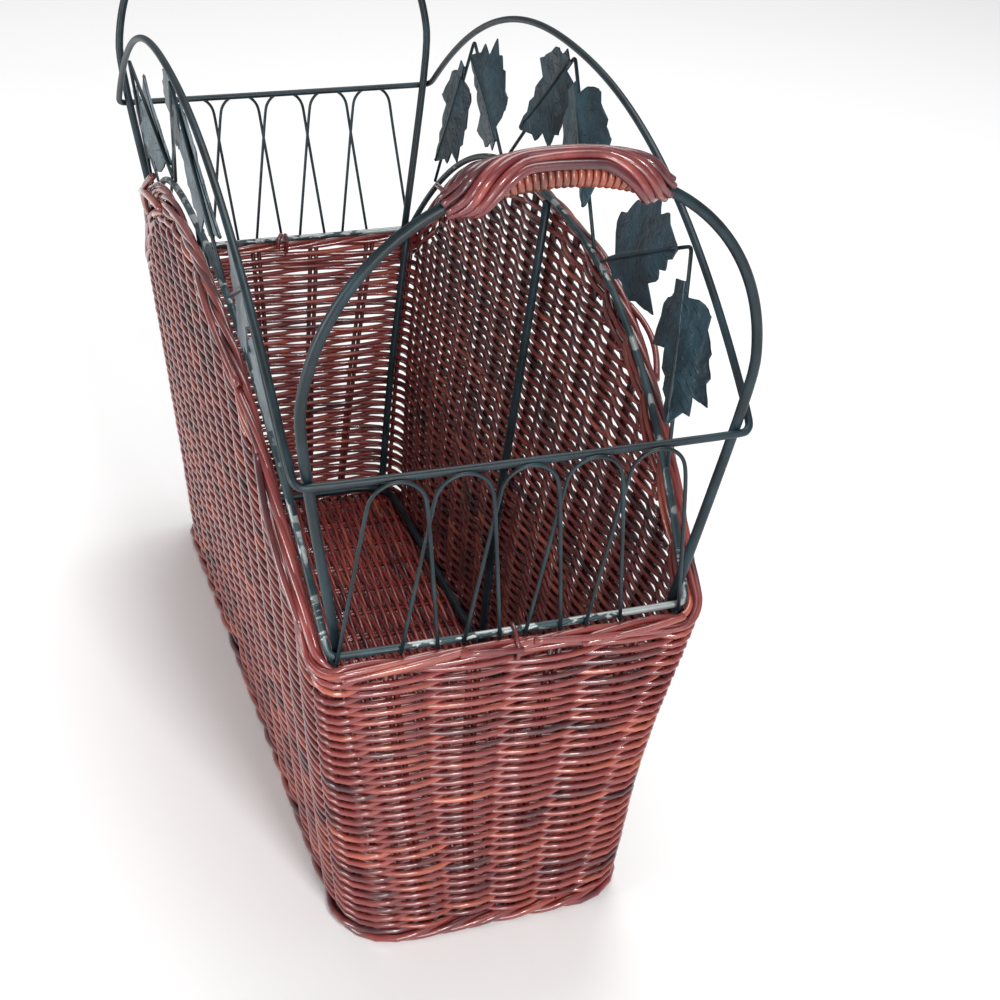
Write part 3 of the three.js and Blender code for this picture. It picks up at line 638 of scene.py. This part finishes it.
stake_lines = []
for stake in range(STAKES):
    for beside in (-PAIR, PAIR):
        place = wall_place(stake + beside)
        top = under_rim(place, WALL_DROP - STAKE_HEAD, MIDDLE).z
        steps = 4 + round((top - STAKE_FOOT) / STAKE_STEP)
        levels = [mix(STAKE_FOOT, top, k / steps) for k in range(steps + 1)]
        stake_lines.append([wall_point(place, z, MIDDLE) for z in levels])
reeds("stakes", stake_lines, STAKE, dark_reed)

# %% [markdown]
# ## Rows of the wall
# A row is level but for a slow drift up and down, partly its own and partly shared with the
# rows beside it. Up to the end walls' height the rows go all round. The last ones follow the
# rim, over the arches too.

# %% A row's path
REED = 0.00154  # radius of a weaver
SWING = 0.0025  # how far it swings out and in round a stake
LINGER = 0.75  # below 1, a weaver stays in front of and behind stakes for longer
CLOSER = 0.36  # share of the swing that is lost in the middle of the far end


def drift(number, turn):
    """The slow up and down of a row, in metres, the same after a full round."""
    a = 2 * math.pi * turn / STAKES
    own = 0.0002 * math.sin(3 * a + 17 * number) + 0.00016 * math.sin(7 * a + 41 * number)
    shared = 0.0007 * math.sin(5 * a + 0.13 * number) + 0.0004 * math.sin(13 * a + 0.4 * number)
    return own + shared


def weave_out(row, turn):
    """How far out of the wall's inner face a weaver is. It lies closer to the stakes at the far
    end, where the weave is denser."""
    c = math.cos(math.pi * (turn + row))
    far_end = SIDE_STAKES + END_STAKES / 2
    near_it = max(0.0, 1 - abs(turn - far_end) / END_STAKES)
    return MIDDLE + math.copysign(abs(c) ** LINGER, c) * SWING * (1 - CLOSER * near_it ** 0.5)


def woven(row, z, turn):
    """A point of a level row."""
    return wall_point(wall_place(turn), z + drift(row, turn), weave_out(row, turn))


print("a row drifts, mm:", round(1000 * max(drift(0, t) for t in range(STAKES)), 2))

# %% Weavers
ROW = 0.00286  # from one row to the next
STEPS = 5  # points from stake to stake
EDGE_ROWS = 4  # rows that follow the rim all round
FIRST_ROW = 0.0095  # height of the lowest row

top_row = RIM_HEIGHT - WALL_DROP - (EDGE_ROWS + 0.2) * ROW
rows = int((top_row - FIRST_ROW) / ROW)
row_pitch = (top_row - FIRST_ROW) / rows
full_turn = [k / STEPS for k in range(STAKES * STEPS)]
around = []
for row in range(rows + 1):
    z = FIRST_ROW + row * row_pitch
    around.append([woven(row, z, turn) for turn in full_turn])
sizes = [REED * random.uniform(0.9, 1.08) for _ in around]
reeds("weavers", around, sizes, wicker_reed, "wicker_sides", closed=True)

edge = []
for row in range(EDGE_ROWS):
    drop = WALL_DROP + (row + 0.6) * ROW
    edge.append([
        under_rim(wall_place(t), drop + drift(row, t), weave_out(rows + EDGE_ROWS - row, t))
        for t in full_turn
    ])
reeds("edge_weavers", edge, REED, wicker_reed, closed=True)

# %% [markdown]
# ## Weavers of the arched sides
# Above the last full row, the rows go on in each long side, where the arch has room for them.
# Their reeds are a little thinner.

# %% Weavers of the arched sides
arch_drop = WALL_DROP + (EDGE_ROWS + 0.1) * ROW  # from the rim's line down to the arch's rows
for side, start in (("right", 0), ("left", SIDE_STAKES + END_STAKES)):
    turns = [start + k / STEPS for k in range(1, SIDE_STAKES * STEPS)]
    arch_lines = []
    z = top_row + row_pitch
    row = rows + 1
    while z < rim_z(0) - arch_drop:
        line = []
        for turn in turns:
            at = woven(row, z, turn)
            if at.z < rim_z(at.y) - arch_drop * slope_factor(at.y):
                line.append(at)
        arch_lines.append(line)
        z += row_pitch
        row += 1
    sizes = [REED * random.uniform(0.8, 0.94) for _ in arch_lines]
    reeds("arch_weavers_" + side, arch_lines, sizes, wicker_reed)

# %% [markdown]
# ## Rim and foot
# Both edges are finished with long reeds that wind round each other like a loose rope. Each
# reed is a helix round the edge's middle line, flattened to the border's section. On the rim
# one more reed wanders over the rope.

# %% Middle lines of the rim and the foot
COIL = 16  # points to a turn of a reed round the rope
BORDER_OUT = WELD_GAP + 0.003  # middle of the rim's border, out from the wall's inner face
FOOT_OUT, FOOT_Z = WELD_GAP + 0.0045, 0.004  # middle of the foot's rope
AHEAD = 0.1  # of a stake's space, to the point that gives the rim's direction


def rope(lines_of, strands, turns, half_out, half_up, wander=0.0):
    """Reeds wound round a closed middle line. lines_of gives the middle, out and up there, and
    a reed strays from its helix by a share, wander."""
    steps = COIL * turns
    lines = []
    for strand in range(strands):
        line = []
        for k in range(steps):
            middle, out, up = lines_of(STAKES * k / steps)
            way = 2 * math.pi * k / steps
            angle = 2 * math.pi * (k / COIL + strand / strands)
            angle += 0.5 * math.sin(way * 5 + strand)
            stray = 1 + wander * math.sin(way * (11 + 2 * strand) + 2 * strand)
            reach = out * half_out * math.cos(angle) * stray
            height = up * half_up * math.sin(angle) * stray
            line.append(middle + reach + height)
        lines.append(line)
    return lines


def rim_line(turn):
    """The border's middle line, with the directions out of the wall and up along it."""
    middle = under_rim(wall_place(turn), BORDER_DROP, BORDER_OUT)
    ahead_of = under_rim(wall_place(turn + AHEAD), BORDER_DROP, BORDER_OUT)
    along = (ahead_of - middle).normalized()
    _, _, cx, cy = wall_place(turn)
    out = Vector((cx, cy, 0))
    out = (out - along * out.dot(along)).normalized()
    up = along.cross(out)
    return middle, out, up if up.z > 0 else -up


def foot_line(turn):
    """The same for the foot's rope."""
    middle = wall_point(wall_place(turn), 0, FOOT_OUT)
    _, _, cx, cy = wall_place(turn)
    return Vector((middle.x, middle.y, FOOT_Z)), Vector((cx, cy, 0)), Vector((0, 0, 1))


print("top of the border's middle line, mm:", round(1000 * rim_line(SIDE_STAKES / 2)[0].z))

# %% Rim and foot
RIM_REED, LOOSE_REED, FOOT_REED = 0.0016, 0.0015, 0.00185  # radii
LOOSE_TURNS, LOOSE_STEPS = 9, 8  # of the wandering reed, round the rim and from stake to stake
LOOSE_OUT, LOOSE_HALF_OUT, LOOSE_HALF_UP = 0.0008, 0.0022, 0.0035  # its helix

rim_lines = rope(rim_line, strands=4, turns=14, half_out=0.0016, half_up=0.0027, wander=0.12)
reeds("rim", rim_lines, RIM_REED, wicker_reed, "rim_border", closed=True, fine=2)

loose_line = []
steps = LOOSE_STEPS * STAKES
for k in range(steps):
    middle, out, up = rim_line(k / LOOSE_STEPS)
    angle = 2 * math.pi * LOOSE_TURNS * k / steps + 0.7 * math.sin(2 * math.pi * 5 * k / steps)
    reach, height = LOOSE_OUT + LOOSE_HALF_OUT * math.cos(angle), LOOSE_HALF_UP * math.sin(angle)
    loose_line.append(middle + out * reach + up * height)
reeds("loose_strand", [loose_line], LOOSE_REED, wicker_reed, closed=True, fine=2)

foot_lines = rope(foot_line, strands=4, turns=13, half_out=0.0026, half_up=0.0021)
reeds("foot", foot_lines, FOOT_REED, wicker_reed, "foot_border", closed=True, fine=2)

# %% [markdown]
# ## Floor of the basket
# Pairs of cross sticks lie across the floor, and long weavers pass over and under them.

# %% Floor of the basket
FLOOR_Z = 0.0052
STICKS, STICK, STICK_BESIDE = 16, 0.0013, 0.0016  # pairs, radius, from a pair's middle to each
STICK_REACH, STICK_LAST = 0.066, 0.196  # half a stick's length, and the last stick's place
COLUMNS, FLOOR_REED, FLOOR_SWING = 50, 0.00138, 0.0018
FLOOR_X, FLOOR_Y = 0.0655, 0.2055  # from the middle to the last weaver, and to a weaver's end
CORNER_X, CORNER_CURVE = 0.045, 22  # past this place the ends draw back, by this curve

stick_xs = (-STICK_REACH, 0, STICK_REACH)
stick_ys = [mix(-STICK_LAST, STICK_LAST, k / (STICKS - 1)) for k in range(STICKS)]
stick_lines = []
for y in stick_ys:
    for beside in (-STICK_BESIDE, STICK_BESIDE):
        stick_lines.append([Vector((x, y + beside, FLOOR_Z)) for x in stick_xs])
reeds("floor_sticks", stick_lines, STICK, wicker_reed)

pitch_y = stick_ys[1] - stick_ys[0]
floor_lines = []
for column in range(COLUMNS):
    x = mix(-FLOOR_X, FLOOR_X, column / (COLUMNS - 1))
    reach = FLOOR_Y - max(0.0, abs(x) - CORNER_X) ** 2 * CORNER_CURVE
    steps = STEPS * STICKS
    line = []
    for k in range(steps + 1):
        y = mix(-reach, reach, k / steps)
        phase = math.cos(math.pi * ((y - stick_ys[0]) / pitch_y + column))
        sway = 0.0002 * math.sin(k + column)
        line.append(Vector((x + sway, y, FLOOR_Z + FLOOR_SWING * phase)))
    floor_lines.append(line)
reeds("floor_weavers", floor_lines, FLOOR_REED, wicker_reed, "wicker_floor")

# %% [markdown]
# ## Grips
# Each handle is bound for a hand's width. Straight reeds lie round the iron, and flat cane is
# wound over them. A tie of cane holds the wicker to the rim rail at each end. All have their
# form in the CAD model, so copies of its meshes are rounded in the same way as the rods.

# %% Grips
CANE_TONES = (srgb(84, 34, 24), srgb(136, 60, 38), srgb(182, 98, 64))
STRAND_TONES = (srgb(44, 13, 22), srgb(98, 29, 34), srgb(148, 66, 56))
CORE_SWELL, WRAP_SWELL, TIE_SWELL = 0.0001, 0.0003, 0.00015

cane_finish = reed_finish("cane_finish", *CANE_TONES, patch=60.0, shine=0.9)
strand_finish = reed_finish("strand_finish", *STRAND_TONES, patch=30.0, shine=0.75)
for end in ("near", "far"):
    core = rounded("grip_core_" + end, wicker_reed, CORE_SWELL, "wicker")
    winding = rounded("grip_wrap_" + end, cane_finish, WRAP_SWELL, "cane", levels=1)
    tie = rounded("rim_tie_" + end, strand_finish, TIE_SWELL, "cane")
    for piece in (core, winding, tie):
        carry(piece.data, "reed", [random.random()] * len(piece.data.vertices))
print("cores, windings and ties: 6")

# %% [markdown]
# ## Strands over the grips
# Thicker reeds lie side by side over the top of the winding, set back so that it shows in
# front. Towards both ends they wind down together round the front, like the strands of a rope,
# and close in on the iron. The CAD model has four plain strands here. The real grip has more,
# so these are laid new, on the line of the handle's arch.

# %% A strand's path
GRIP = 0.088  # its length
ARCH_FOOT, ARCH_TOP, ARCH_HALF, ARCH_POWER = 0.305, 0.4096, 0.09675, 2.1  # the handle's arch
END_LEAN, HANDLE_Y = 0.13587, 0.22556  # lean of the handle, and its place at the rim's height
LAID, TUCKED = 0.0083, 0.0040  # from the iron's middle to a strand's, over the winding and past it
THICK, THIN = 0.0019, 0.0014  # radius of a strand there
TUCK = 0.012  # length over which a strand closes in on the iron
TIGHT = 0.0035  # from strand to strand
STRAND_COUNT, SET_BACK = 6, math.radians(19)
STRAIGHT_SHARE, TWINE = 0.3, math.radians(125)  # of the grip, and how far the ends wind round
NEARBY = 0.0001  # to the points that give the arch's direction


def grip_point(end, x):
    """A point of the handle's arch. end is -1 for the near one, and 1 for the far one."""
    rise = (1 - abs(x / ARCH_HALF) ** ARCH_POWER) ** (1 / ARCH_POWER)
    z = ARCH_FOOT + (ARCH_TOP - ARCH_FOOT) * rise
    return Vector((x, end * (HANDLE_Y + END_LEAN * (z - RIM_HEIGHT)), z))


def smooth(value, reach):
    """0 at 0, 1 from reach on, and smooth in between."""
    share = max(0.0, min(1.0, value / reach))
    return share * share * (3 - 2 * share)


def strand_line(end, number, steps=36):
    """The points of one strand, and its radius at each of them."""
    line, sizes = [], []
    out = Vector((0, end, -END_LEAN)).normalized()
    for k in range(steps + 1):
        share = k / steps
        x = GRIP * (share - 0.5)
        along = (grip_point(end, x + NEARBY) - grip_point(end, x - NEARBY)).normalized()
        up = out.cross(along)
        up = up if up.z > 0 else -up
        closing = smooth(GRIP * min(share, 1 - share), TUCK)
        radius = mix(TUCKED, LAID, closing)
        wind = max(0.0, abs(2 * share - 1) - STRAIGHT_SHARE) / (1 - STRAIGHT_SHARE)
        angle = (number - (STRAND_COUNT - 1) / 2) * TIGHT / radius - SET_BACK * (1 - wind)
        angle += TWINE * wind ** 1.4 + 0.05 * math.sin(9 * share + 3 * number)
        around = up * math.cos(angle) + out * math.sin(angle)
        line.append(grip_point(end, x) + around * radius)
        sizes.append(mix(THIN, THICK, closing))
    return line, sizes


print("top of the handle, mm:", round(1000 * grip_point(-1, 0).z))

# %% Strands over the grips
for end, place in (("near", -1), ("far", 1)):
    laid = [strand_line(place, number) for number in range(STRAND_COUNT)]
    covered = [f"grip_strand_{end}_{k}" for k in range(1, 5)]
    reeds(
        "grip_strands_" + end,
        [line for line, _ in laid],
        [sizes for _, sizes in laid],
        strand_finish,
        *covered,
        slot_name="grip_strand",
        fine=2,
    )

# %% [markdown]
# ## Loose reeds
# Such baskets are never quite neat. A few reeds stand off the rim in flat loops, and two thick
# ones cross over the far end of the left arch. Short cut ends stick up at the far tie and at the
# near grip, and one lies along the near rim.

# %% Loose reeds
LOOPS = (  # from stake, to stake, how far it stands off, how far it climbs, radius
    (3.4, 4.8, 0.0045, 0, 0.0016),
    (37.4, 38.9, 0.0012, 0.006, 0.0016),
    (39.7, 41.3, 0.001, -0.005, 0.0016),
    (30.2, 33.0, 0.0026, 0.005, 0.0016),
    (34.0, 36.2, 0.003, 0, 0.0016),
    (40.3, 41.6, 0.0016, 0.006, 0.0016),
    (23.4, 26.6, 0.0036, -0.017, 0.0021),
    (24.0, 25.8, 0.0034, 0.014, 0.002),
)
LOOP_STEPS = 16
ON_ROPE, OVER_ROPE = 0.0028, 0.001  # out and up from the border's middle, where a loop starts


def loop(start, stop, reach, lift):
    """A reed that leaves the rim at one stake and comes back at another."""
    line = []
    for k in range(LOOP_STEPS + 1):
        share = k / LOOP_STEPS
        middle, out, up = rim_line(mix(start, stop, share))
        swell = math.sin(math.pi * k / LOOP_STEPS)
        climb = lift * (share - 0.5)
        line.append(middle + out * (ON_ROPE + reach * swell) + up * (OVER_ROPE + climb))
    return line


loops = [loop(*form) for *form, _ in LOOPS]
reeds("loose_loops", loops, [radius for *_, radius in LOOPS], wicker_reed, fine=2)

# %% Cut ends
TIE_END = ((-0.007, 0.2212, 0.187), (-0.0065, 0.2228, 0.1925), (-0.004, 0.2236, 0.1965))
GRIP_END = ((0.002, -0.002, 0.003), (0, 0, 0.0055), (-0.003, 0.001, 0.0085))  # from the iron
GRIP_END_X = -0.0438
RIM_END = (39.55, 39.3, 39.05, 38.8)  # places round the basket
RIM_END_OUT, RIM_END_UP, RIM_END_CLIMB = 0.0047, 0.0012, 0.0008  # from the border's middle
CUT_RADII = [0.0014, 0.0009, 0.0016]

tie_end = [Vector(p) for p in TIE_END]
grip_end = [grip_point(-1, GRIP_END_X) + Vector(p) for p in GRIP_END]
rim_end = [
    middle + out * RIM_END_OUT + up * (RIM_END_UP + RIM_END_CLIMB * k)
    for k, (middle, out, up) in enumerate(rim_line(turn) for turn in RIM_END)
]
reeds("cut_ends", [tie_end, grip_end, rim_end], CUT_RADII, strand_finish, fine=2)

# %% [markdown]
# ## Leaf paint
# The leaves are stamped from sheet. The stamp leaves a ridge down the middle and short veins
# that slant away from it. Each leaf carries a UV map that tells, in millimetres, how far along
# and how far out a point is, and the paint's bump draws the veins from those two numbers. The
# left side's leaves look paler, so theirs is a lighter copy of the same paint: painted light for
# the sheen that they catch.

# %% Leaf paint
VEIN_PITCH, VEIN_SLANT = 5.5, 0.9  # mm from vein to vein, and how far along one runs in 1 mm out


def veins(tree):
    """The height of a leaf's ridge, veins and dents."""
    where = node(tree, "ShaderNodeUVMap", {"uv_map": "leaf"}, {})
    along = node(tree, "ShaderNodeSeparateXYZ", {}, {"Vector": where}, "X")
    out = abs(node(tree, "ShaderNodeSeparateXYZ", {}, {"Vector": where}, "Y"))
    stripes = ((along - out * VEIN_SLANT) * (2 * math.pi / VEIN_PITCH)).wave().ramp(0.45, 0.95)
    breaks = noise(tree, place_on(tree), 190.0, 1).ramp(0.5, 0.6)
    short = stripes * breaks * out.ramp(1.4, 2.2) * (1 - out.ramp(13.0, 18.0))
    ridge = 1 - out.ramp(0.8, 2.2)
    dents = noise(tree, place_on(tree), 95.0, 3)
    return short * 3.6 + ridge * 3 + dents * 11


leaf_paint = iron_finish(
    "leaf_paint", srgb(15, 41, 51), srgb(35, 66, 78), wear=0.76, relief=veins, ior=1.5
)
# A lighter copy of the leaf paint, as painted sheen and light on the left side's leaves.
pale_leaf_paint = iron_finish(
    "pale_leaf_paint", srgb(40, 60, 68), srgb(82, 100, 108), wear=0.7, relief=veins, ior=1.6
)
print("leaf paints:", leaf_paint.name, pale_leaf_paint.name)

# %% [markdown]
# ## Leaves
# Fold and outline are in the CAD model. Here a copy of each leaf gets finer teeth: its edges
# are divided, and the points off the midrib are pushed out and in by a wave that runs along
# the leaf. A rib lies along the fold, over the stem that holds the leaf.

# %% Leaves
TOOTH, TOOTH_PITCH = 0.0008, 0.0031  # depth of a tooth, and from tooth to tooth
TOOTH_FADE = 0.008  # nearer than this to the midrib, the teeth get lower
ON_FOLD = 0.001  # points nearer than this to the midrib are on it
RIB = 0.0009  # radius of a rib
RISING = ("2", "5")  # leaves whose tips point up


def leg_of(side, number):
    """The leg of the stem that a leaf hangs on: its top, its direction, and across it."""
    stem = f"stem_{side}_" + ("far", "middle", "near")[(number - 1) // 2]
    points = [v.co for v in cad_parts[stem].data.vertices]
    top = max(points, key=lambda p: p.z)
    foot = max(points, key=lambda p: p.y * (1 if number % 2 else -1))
    along = (foot - top).normalized()
    return top, along, along.cross(Vector((1, 0, 0))).normalized()


leaf_nodes = [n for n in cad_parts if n.startswith("leaf_")]
rib_lines = []
for name in leaf_nodes:
    _, side, number = name.split("_")
    top, along, across = leg_of(side, int(number))
    form = copied(name, quads=False)
    middle = [v.co.copy() for v in form.verts if abs((v.co - top).dot(across)) < ON_FOLD]
    middle.sort(key=lambda p: (p - top).dot(along))
    rib_lines.append([(a + b) / 2 for a, b in zip(middle[::2], middle[1::2])])
    bmesh.ops.subdivide_edges(form, edges=form.edges, cuts=3)
    for vert in form.verts:
        run, out = (vert.co - top).dot(along), (vert.co - top).dot(across)
        push = TOOTH * math.sin(2 * math.pi * run / TOOTH_PITCH) * min(1, abs(out) / TOOTH_FADE)
        vert.co += across * math.copysign(push, out) - along * abs(push)
    where = form.loops.layers.uv.new("leaf")
    to_tip = -1 if number in RISING else 1
    for face in form.faces:
        for corner in face.loops:
            offset = (corner.vert.co - top) * 1000
            corner[where].uv = (to_tip * offset.dot(along), offset.dot(across))
    mesh = to_mesh(form, name + "_sheet")
    mesh.set_sharp_from_angle(angle=math.radians(35))
    # The left side's leaves take the lighter copy, which paints in their sheen.
    paint = pale_leaf_paint if side == "left" else leaf_paint
    show(name + "_sheet", mesh, paint, name, slot_name="leaf_paint")
reeds("leaf_ribs", rib_lines, RIB, iron_paint, slot_name="leaf_paint")
print("leaves:", len(leaf_nodes))
